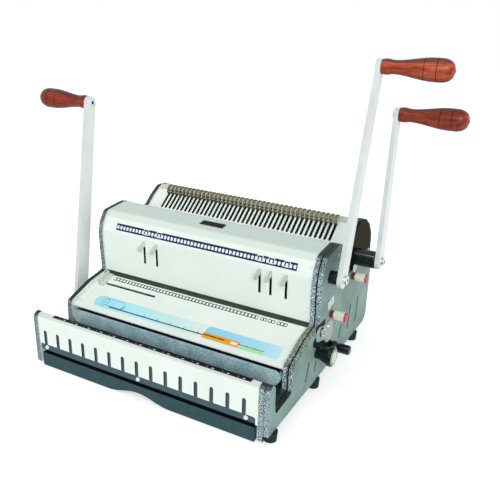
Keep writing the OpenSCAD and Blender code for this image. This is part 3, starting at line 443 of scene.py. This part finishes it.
# tints multiplied into each grip's wood: on the closer grip it is painted shade, on the comb grip a darker, redder
# tone
GRIP_TINTS = {
    "punch_grip": srgb(255, 255, 255),
    "comb_grip": srgb(218, 204, 218),
    "closer_grip": srgb(204, 160, 150),
}
DIE_PULLS = [f"die_pull_{k}" for k in range(1, 6)]
pull_metal = paint("pull_metal", srgb(222, 227, 217), srgb(184, 190, 180), 0.3)
special = {
    # the dark tops of the jaw and the drawer front are painted shadow of the gaps above them
    "closer_jaw": mottled("jaw_paint", (0.34, srgb(94, 131, 143)), (0.5, srgb(164, 200, 209)),
                          (0.66, srgb(226, 248, 251)), over=painted_shade_top(srgb(14, 18, 42), JAW_TOP)),
    "drawer_front": mottled("drawer_paint", (0.35, srgb(44, 70, 78)), (0.65, srgb(64, 92, 98)),
                            over=painted_shade_top(srgb(8, 10, 12), DRAWER_TOP)),
    "die_plate": mottled("die_steel", (0.35, srgb(48, 54, 46)), (0.65, srgb(80, 86, 74)), over=white_lip),
    # the cover's top takes a painted shade
    "upper_cover": paint("cover_paint", *WHITE, cuts=CUT_SHADE, tops=srgb(208, 226, 217)),
    **{pull: pull_metal for pull in DIE_PULLS},
    **{grip: turned_grip(grip, grip_tint) for grip, grip_tint in GRIP_TINTS.items()},
    "closer_bolt": round_end("closer_bolt_paint", "closer_grip", BOLT_SOCKET,
                             (srgb(14, 15, 16), srgb(26, 28, 29)), (srgb(214, 224, 220), srgb(238, 246, 241))),
    "gap_knob_cap": round_end("gap_cap_paint", "gap_knob_cap", CAP_WHITE,
                              (srgb(214, 224, 218), srgb(234, 242, 236)),
                              (srgb(112, 150, 134), srgb(146, 182, 166))),
    "front_screws": paint("screw_paint", srgb(240, 246, 244), srgb(222, 230, 227)),
    "edge_guide": paint("guide_paint", srgb(216, 224, 214), srgb(190, 199, 188)),
    "comb_rake": mottled("rake_paint", (0.35, srgb(20, 24, 24)), (0.65, srgb(40, 46, 46))),
    "comb_rail": paint("rail_paint", srgb(206, 214, 206), srgb(186, 196, 188)),
    "front_margin_knob": ringed_knob("front_knob_plastic", "front_margin_knob"),
    "rear_margin_knob": ringed_knob("rear_knob_plastic", "rear_margin_knob"),
}
for subpart in frame["record"]["subparts"]:
    node = frame["nodes"][subpart["node"]]
    finish = special.get(subpart["node"]) or slots[subpart["material_slot"]]
    for material_slot in node.material_slots:
        material_slot.material = finish.material


# ---------------------------------------------------------------- printed and thin pieces on the faces

def turned(outline, angle, centre):
    c, s = math.cos(angle), math.sin(angle)
    return [(centre[0] + (x - centre[0]) * c - (y - centre[1]) * s,
             centre[1] + (x - centre[0]) * s + (y - centre[1]) * c) for x, y in outline]


def round_rect(x, y, width, height, radius, steps=6, turn=0.0):
    """Outline of a rectangle with round corners, centred at (x, y) and turned about that."""
    points = []
    for quarter, (sx, sy) in enumerate(((1, 1), (-1, 1), (-1, -1), (1, -1))):
        for i in range(steps + 1):
            angle = math.pi / 2 * (quarter + i / steps)
            points.append((x + sx * (width / 2 - radius) + radius * math.cos(angle),
                           y + sy * (height / 2 - radius) + radius * math.sin(angle)))
    return turned(points, turn, (x, y)) if turn else points


def oval(x, y, width, height, turn=0.0, steps=40):
    angles = [2 * math.pi * i / steps for i in range(steps)]
    points = [(x + width / 2 * math.cos(angle), y + height / 2 * math.sin(angle)) for angle in angles]
    return turned(points, turn, (x, y)) if turn else points


def ribbon(path, thickness):
    """Outline of a strip along a path, half its thickness to each side."""
    sides = ([], [])
    for i, (x, y) in enumerate(path):
        before, after = path[max(i - 1, 0)], path[min(i + 1, len(path) - 1)]
        along = Vector((after[0] - before[0], after[1] - before[1])).normalized()
        for points, sign in zip(sides, (1, -1)):
            points.append((x - sign * along.y * thickness / 2, y + sign * along.x * thickness / 2))
    return sides[1] + sides[0][::-1]


class Print:
    """A thin piece on a face: shape(…) lays a filled outline, and ring(…) an open one, from low to high off it."""

    def __init__(self, name, face, body="housing"):
        self.name, self.face, self.body, self.mesh, self.finishes = name, face, body, bmesh.new(), []

    def _layer(self, outline, height):
        return [self.mesh.verts.new(self.face.point(x, y, height)) for x, y in outline]

    def _finish(self, finish):
        if finish not in self.finishes:
            self.finishes.append(finish)
        return self.finishes.index(finish)

    def _wall(self, lower, upper, index):
        for i in range(len(lower)):
            j = (i + 1) % len(lower)
            self.mesh.faces.new((lower[i], lower[j], upper[j], upper[i])).material_index = index

    def shape(self, outline, low, high, finish):
        index = self._finish(finish)
        lower, upper = self._layer(outline, low), self._layer(outline, high)
        self.mesh.faces.new(upper).material_index = index
        self.mesh.faces.new(lower[::-1]).material_index = index
        self._wall(lower, upper, index)

    def ring(self, outer, inner, low, high, finish):
        index = self._finish(finish)
        loops = [self._layer(outer, low), self._layer(outer, high), self._layer(inner, high), self._layer(inner, low)]
        for a, b in zip(loops, loops[1:] + loops[:1]):
            self._wall(a, b, index)

    def done(self):
        data = bpy.data.meshes.new(self.name)
        self.mesh.to_mesh(data)
        self.mesh.free()
        for finish in self.finishes:
            data.materials.append(finish.material)
        piece = bpy.data.objects.new(self.name, data)
        bpy.context.scene.collection.objects.link(piece)
        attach(piece, self.body)


FILM = 0.3  # thickness of a stuck-on strip
INK = 0.12  # of what is printed on it
navy = print_ink("navy_ink", srgb(46, 60, 104), srgb(30, 42, 84))
teal_ink = print_ink("teal_ink", srgb(22, 66, 84), srgb(10, 46, 62))
white_ink = print_ink("white_ink", srgb(246, 248, 250), srgb(232, 236, 240))
# black print, and also painted shade in the slits, round the link tab's screw and in its cross slot
black_ink_and_shade = print_ink("black_ink_and_shade", srgb(34, 34, 30), srgb(20, 20, 18))
dark_patch_ink = print_ink("dark_patch_ink", srgb(24, 38, 40), srgb(12, 22, 24))
line_ink = print_ink("line_ink", srgb(72, 84, 82), srgb(48, 58, 58))
orange_ink = print_ink("orange_ink", srgb(250, 176, 50), srgb(240, 152, 30))
green_ink = print_ink("green_ink", srgb(186, 244, 160), srgb(160, 232, 140))
cyan_print = faded_print("cyan_print", -162, 60, (0.0, srgb(164, 228, 250)), (0.3, srgb(178, 240, 250)),
                         (0.75, srgb(206, 241, 241)), (1.0, srgb(230, 243, 236)))
blue_print = faded_print("blue_print", 50, 176, (0.0, srgb(142, 214, 244)), (0.7, srgb(170, 226, 248)),
                         (1.0, srgb(198, 236, 248)))
icon_ink = print_ink("icon_ink", srgb(116, 178, 194), srgb(92, 154, 174))
grey_ink = print_ink("grey_ink", srgb(176, 182, 186), srgb(150, 158, 162))

# hole strip on the upper cover: one white window a punch pin, and a frame round the windows at each die pull
PIN_PITCH, PIN_COUNT = 6.35, 52
STRIP_UP, STRIP_H, STRIP_SPARE, STRIP_CORNER = 9.9, 11.6, 1, 0.6
# windows and frames: place up the strip's middle line, then width, height and corner radius
WINDOW_UP, WINDOW = -0.3, (4.1, 5.6, 1.1)
PULL_FRAME_UP, PULL_FRAME, PULL_FRAME_HOLE = 1.2, (10, 9.6, 1.6), (8, 7.6, 1.0)
pin_low, pin_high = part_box("punch_pins")
first_pin = ((pin_low[0] + pin_high[0]) / 2 - middle_x) / MM - PIN_PITCH * (PIN_COUNT - 1) / 2
strip = Print("punch_hole_strip", brow)
strip.shape(round_rect(first_pin + PIN_PITCH * (PIN_COUNT - 1) / 2, STRIP_UP, PIN_PITCH * PIN_COUNT + STRIP_SPARE,
                       STRIP_H, STRIP_CORNER), 0, FILM, navy)
for pin in range(PIN_COUNT):
    strip.shape(round_rect(first_pin + pin * PIN_PITCH, STRIP_UP + WINDOW_UP, *WINDOW), FILM, FILM + INK, white_ink)
for pull in DIE_PULLS:
    pull_x = (sum(corner[0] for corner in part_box(pull)) / 2 - middle_x) / MM
    pin_x = first_pin + PIN_PITCH * round((pull_x - first_pin) / PIN_PITCH)
    strip.ring(round_rect(pin_x, STRIP_UP + PULL_FRAME_UP, *PULL_FRAME),
               round_rect(pin_x, STRIP_UP + PULL_FRAME_UP, *PULL_FRAME_HOLE), FILM, FILM + INK, white_ink)
strip.done()

# scale on the deck: a dark strip with one white window a punch pin, and looser groups after a break
SCALE_UP, SCALE_H, SCALE_CORNER = 77.6, 7.4, 1
SCALE_BREAK, SCALE_SPARE = 44, -1.5  # pins before the break, and what its strip ends short
SCALE_WINDOW = (4.2, 4.6, 0.9)  # width, height and corner radius
LOOSE_GROUPS = ((0.7, 11), (2.8, 12), (5.6, 17))  # pins after the break, and width
LOOSE_H, LOOSE_CORNER = 6.8, 1.4
LOOSE_PITCH, LOOSE_GAP = 5.6, 1.9  # of the windows in a group
LOOSE_WINDOW = (4.2, 0.9)  # height and corner radius
scale = Print("deck_hole_scale", deck)
scale.shape(round_rect(first_pin + PIN_PITCH * (SCALE_BREAK - 1) / 2, SCALE_UP, PIN_PITCH * SCALE_BREAK + SCALE_SPARE,
                       SCALE_H, SCALE_CORNER), 0, INK, line_ink)
for pin in range(SCALE_BREAK):
    scale.shape(round_rect(first_pin + pin * PIN_PITCH, SCALE_UP, *SCALE_WINDOW), INK, 2 * INK, white_ink)
for pin, width in LOOSE_GROUPS:
    x = first_pin + (SCALE_BREAK + pin) * PIN_PITCH
    scale.shape(round_rect(x, SCALE_UP, width, LOOSE_H, LOOSE_CORNER), 0, INK, line_ink)
    windows = round(width / LOOSE_PITCH)
    for window in range(windows):
        window_x = x + (window - (windows - 1) / 2) * width / windows
        scale.shape(round_rect(window_x, SCALE_UP, width / windows - LOOSE_GAP, *LOOSE_WINDOW),
                    INK, 2 * INK, white_ink)
scale.done()

# setting label on the deck: two fields, plain blocks, lines and open shapes
FIELD_UP, FIELD_H = 23.5, 25
CYAN_TOP, BLUE_TOP, ICON_TOP, LINE_TOP, BLOCK_TOP, MARK_TOP = 0.1, 0.16, 0.2, 0.24, 0.26, 0.32  # layers off the deck
TICKS, TICK, TICK_TOP = (-60, -35, -10, 15, 40, 112, 124, 136), (18.9, 0.9, 3, 0.4), 0.3
label = Print("deck_label", deck)
label.shape(round_rect(-51, FIELD_UP, 222, FIELD_H, 12.4, steps=14), 0, CYAN_TOP, cyan_print)
label.shape(round_rect(113, FIELD_UP, 126, FIELD_H, 6, steps=8), 0, BLUE_TOP, blue_print)
label.shape(round_rect(-16, 16.4, 226, 2.0, 0.9, turn=0.002), CYAN_TOP, LINE_TOP, teal_ink)
label.shape(round_rect(-104, 20.6, 1.3, 8, 0.6, turn=-0.45), CYAN_TOP, LINE_TOP, teal_ink)
label.ring(round_rect(-124, 25, 40, 15, 6), round_rect(-124, 25, 38.4, 13.4, 5.2), CYAN_TOP, ICON_TOP, icon_ink)
label.ring(oval(-142, 24, 13, 18), oval(-142, 24, 11.4, 16.4), ICON_TOP, BLOCK_TOP, icon_ink)
label.shape(round_rect(80, 17.6, 62, 11, 0.8), BLUE_TOP, BLOCK_TOP, orange_ink)
label.shape(round_rect(68, 18, 38, 1.8, 0.8), BLOCK_TOP, MARK_TOP, black_ink_and_shade)
label.shape(round_rect(103, 17.4, 11, 4.6, 0.8), BLOCK_TOP, MARK_TOP, white_ink)
label.shape(round_rect(131, 14.8, 40, 5.6, 1), BLUE_TOP, BLOCK_TOP, green_ink)
label.shape(round_rect(131, 18.4, 44, 0.9, 0.4), BLOCK_TOP, MARK_TOP, line_ink)
for tick in TICKS:
    label.shape(round_rect(tick, *TICK), CYAN_TOP, TICK_TOP, line_ink)
label.done()

# black scale along the front plate's folded top: white marks, with a grey line before each
RULER = (2, 12.2, 346, 7.0, 0.5)
MARKS, FIRST_MARK, MARK_PITCH = 14, -148, 24
MARK, MARK_LINE_BEFORE, MARK_LINE = (11.0, 4, 1.4, 0.6), 9, (11.8, 0.8, 3.0, 0.3)
ruler = Print("flange_scale", flange)
ruler.shape(round_rect(*RULER), 0, FILM, black_ink_and_shade)
for mark in range(MARKS):
    x = FIRST_MARK + MARK_PITCH * mark
    ruler.shape(round_rect(x, *MARK), FILM, FILM + INK, white_ink)
    ruler.shape(round_rect(x - MARK_LINE_BEFORE, *MARK_LINE), FILM, FILM + INK, grey_ink)
ruler.done()

# bare nameplate on the cover's top, with a fine line inside its edge
PLATE_AT, PLATE_T, PLATE_LINE_TOP = (-2, 20.7), 0.6, 0.68
plate = Print("bare_nameplate", cover_top)
plate.shape(round_rect(*PLATE_AT, 43, 14, 1.2), 0, PLATE_T, black_ink_and_shade)
plate.ring(round_rect(*PLATE_AT, 40.4, 11.4, 0.9), round_rect(*PLATE_AT, 39.2, 10.2, 0.6),
           PLATE_T, PLATE_LINE_TOP, line_ink)
plate.done()

# two plain stickers on the right side, each with an open oval: centre, size and turn
STICKERS = {
    "side_sticker_front": ((201.7, 111.8), (22.5, 13.2), 0.21),
    "side_sticker_rear": ((305.4, 134.0), (18.4, 15.5), 0.35),
}
STICKER_T, STICKER_CORNER = 0.2, 1
OVAL_SHARE, OVAL_LINE, OVAL_TOP = 0.6, 1.2, 0.28  # the oval's share of the size, its line's width, and its height
for name, (centre, size, turn) in STICKERS.items():
    outer = [length * OVAL_SHARE for length in size]
    inner = [length - 2 * OVAL_LINE for length in outer]
    sticker = Print(name, side)
    sticker.shape(round_rect(*centre, *size, STICKER_CORNER, turn=turn), 0, STICKER_T, white_ink)
    sticker.ring(oval(*centre, *outer, turn), oval(*centre, *inner, turn), STICKER_T, OVAL_TOP, grey_ink)
    sticker.done()

# a black patch by the knobs on the right side, and a strap over it, painted shadow along the plates' edge step
DARK_PATCH, DARK_PATCH_TURN, DARK_PATCH_T = (180, 52, 92, 14, 6.5), -0.49, 0.8
SHADOW_STRAP = (164, 90, 34, 9, 2)
dark_patch = Print("dark_patch_by_knobs", side)
dark_patch.shape(round_rect(*DARK_PATCH, turn=DARK_PATCH_TURN), 0, DARK_PATCH_T, dark_patch_ink)
# painted shadow: the dark strap along the plates' edge step
dark_patch.shape(round_rect(*SHADOW_STRAP), 0, DARK_PATCH_T, dark_patch_ink)
dark_patch.done()

# front lobe of the link tab over the dark patch, with its cross-slotted screw on a black ring of painted shade; the
# cross slot is black bars of painted shade
LOBE, LOBE_TURN, LOBE_TOP = (169, 75.5, 46, 23, 11), -0.3, 1.9
SCREW_AT, SCREW_R, SCREW_TOP = (165, 80), 6, 5.5
SHADE_RING_R, SHADE_RING_TOP = 7.5, 2.4
SCREW_SLOT, SCREW_TURN = (9, 2.2, 1.0), 0.4
lobe = Print("link_tab_lobe", side)
lobe.shape(round_rect(*LOBE, turn=LOBE_TURN), DARK_PATCH_T, LOBE_TOP, slots["link_paint"])
# painted shade: a black ring round the screw
lobe.shape(oval(*SCREW_AT, 2 * SHADE_RING_R, 2 * SHADE_RING_R), LOBE_TOP, SHADE_RING_TOP, black_ink_and_shade)
lobe.shape(oval(*SCREW_AT, 2 * SCREW_R, 2 * SCREW_R), SHADE_RING_TOP, SCREW_TOP, slots["chrome"])
# painted shade: the cross slot as black bars
for turn in (SCREW_TURN, SCREW_TURN + math.pi / 2):
    lobe.shape(round_rect(*SCREW_AT, *SCREW_SLOT, turn=turn), SCREW_TOP, SCREW_TOP + INK, black_ink_and_shade)
lobe.done()

# painted shade in the right side's slits, a black fill: Y, Z of the two ends of each
SIDE_SLITS = ((127, 45, 120, 20), (156, 33, 152, 20), (258, 47, 253, 29), (300, 67, 294, 27), (337, 67, 334, 22))
SLIT_W, SLIT_CORNER, SLIT_DEPTHS = 4.4, 2.19, (-7.5, -0.3)
slit_shade = Print("side_slit_shade", side)
for y0, z0, y1, z1 in SIDE_SLITS:
    run = Vector((y1 - y0, z1 - z0))
    slit_shade.shape(round_rect((y0 + y1) / 2, (z0 + z1) / 2, run.length + SLIT_W, SLIT_W, SLIT_CORNER,
                            turn=math.atan2(run.y, run.x)), *SLIT_DEPTHS, black_ink_and_shade)
slit_shade.done()

# curled tips that carry the comb hooks on over the rail: path up and off the comb table, thickness and width
TIP_PATH = ((34.5, 9.2), (38.0, 10.3), (42.0, 10.6), (45.6, 9.6), (48.2, 7.2), (49.2, 4.0))
TIP_T, TIP_W = 1.7, 3.6
HOOK_PITCH, HOOK_COUNT = 8.466, 40
tips = Print("comb_hook_tips", Face(comb.origin, comb.up, comb.out), "rake")
for hook in range(HOOK_COUNT):
    x = (hook - (HOOK_COUNT - 1) / 2) * HOOK_PITCH
    tips.shape(ribbon(TIP_PATH, TIP_T), x - TIP_W / 2, x + TIP_W / 2, slots["hook_brass"])
tips.done()


# ---------------------------------------------------------------- floor, light and camera

FLOOR_SIZE = 12.0  # metres
FLOOR_GREY, FLOOR_ROUGHNESS = 0.88, 0.9
FLOOR_GLOW = 0.45  # seen by the camera and in reflections only
SKY_SEEN, FILL_LIGHT = 1.0, 0.5  # the world as it is seen, and as it lights
# suns: strength, where each shines from, and its width in degrees; the glint draws a line along the round parts
SUNS = {
    "key": (1.58, (0.484, -0.751, 0.450), 25),
    "glint": (0.25, (-0.22, -0.47, 0.85), 5),
}


def ray_mix(tree, seen_value, other_value):
    """A value for rays from the camera, from mirrors and through glass, and another for scattered light."""
    path = tree.nodes.new("ShaderNodeLightPath")
    seen = path.outputs["Is Camera Ray"]
    for other in ("Is Glossy Ray", "Is Transmission Ray"):
        top = tree.nodes.new("ShaderNodeMath")
        top.operation = "MAXIMUM"
        tree.links.new(seen, top.inputs[0])
        tree.links.new(path.outputs[other], top.inputs[1])
        seen = top.outputs[0]
    span = tree.nodes.new("ShaderNodeMapRange")
    span.inputs["To Min"].default_value, span.inputs["To Max"].default_value = other_value, seen_value
    tree.links.new(seen, span.inputs["Value"])
    return span.outputs["Result"]


half = FLOOR_SIZE / 2
floor_data = bpy.data.meshes.new("floor")
floor_data.from_pydata([(-half, -half, 0), (half, -half, 0), (half, half, 0), (-half, half, 0)], [], [(0, 1, 2, 3)])
floor = bpy.data.objects.new("floor", floor_data)
bpy.context.scene.collection.objects.link(floor)
floor_paint = bpy.data.materials.new("floor_paint")
floor_paint.use_nodes = True
floor_tree = floor_paint.node_tree
floor_shader = floor_tree.nodes["Principled BSDF"]
floor_shader.inputs["Base Color"].default_value = (FLOOR_GREY, FLOOR_GREY, FLOOR_GREY, 1)
floor_shader.inputs["Roughness"].default_value = FLOOR_ROUGHNESS
floor_shader.inputs["Emission Color"].default_value = (1, 1, 1, 1)
floor_tree.links.new(ray_mix(floor_tree, FLOOR_GLOW, 0.0), floor_shader.inputs["Emission Strength"])
floor_data.materials.append(floor_paint)

world = bpy.data.worlds.new("studio")
bpy.context.scene.world = world
world.use_nodes = True
sky = world.node_tree.nodes["Background"]
sky.inputs["Color"].default_value = (1, 1, 1, 1)
world.node_tree.links.new(ray_mix(world.node_tree, SKY_SEEN, FILL_LIGHT), sky.inputs["Strength"])

for name, (strength, source, width) in SUNS.items():
    lamp_data = bpy.data.lights.new(name, "SUN")
    lamp_data.energy, lamp_data.angle = strength, math.radians(width)
    lamp = bpy.data.objects.new(name, lamp_data)
    bpy.context.scene.collection.objects.link(lamp)
    lamp.rotation_euler = Vector(source).to_track_quat("Z", "Y").to_euler()

# camera as fitted to the photo: the machine's edges and its hole and hook pitches; its place is in metres
IMAGE_SIZE = 500.0
FOCAL_PIXELS = 620.38
SENSOR = 36.0
CAMERA_YAW, CAMERA_PITCH, CAMERA_ROLL = (math.radians(v) for v in (27.488, 21.246, 1.814))
CAMERA_PLACE = Vector((0.4753, -0.8013, 0.5350))

away = Vector((math.sin(CAMERA_YAW) * math.cos(CAMERA_PITCH), -math.cos(CAMERA_YAW) * math.cos(CAMERA_PITCH),
               math.sin(CAMERA_PITCH)))
level_right = (-away).cross(Vector((0, 0, 1))).normalized()
level_up = level_right.cross(-away)
right = level_right * math.cos(CAMERA_ROLL) + level_up * math.sin(CAMERA_ROLL)
up = level_up * math.cos(CAMERA_ROLL) - level_right * math.sin(CAMERA_ROLL)
camera_data = bpy.data.cameras.new("camera")
camera_data.sensor_width = SENSOR
camera_data.lens = FOCAL_PIXELS / IMAGE_SIZE * SENSOR
camera = bpy.data.objects.new("camera", camera_data)
bpy.context.scene.collection.objects.link(camera)
camera.matrix_world = Matrix.Translation(CAMERA_PLACE) @ Matrix((right, up, away)).transposed().to_4x4()
bpy.context.scene.camera = camera
bpy.context.scene.view_settings.view_transform = "Standard"
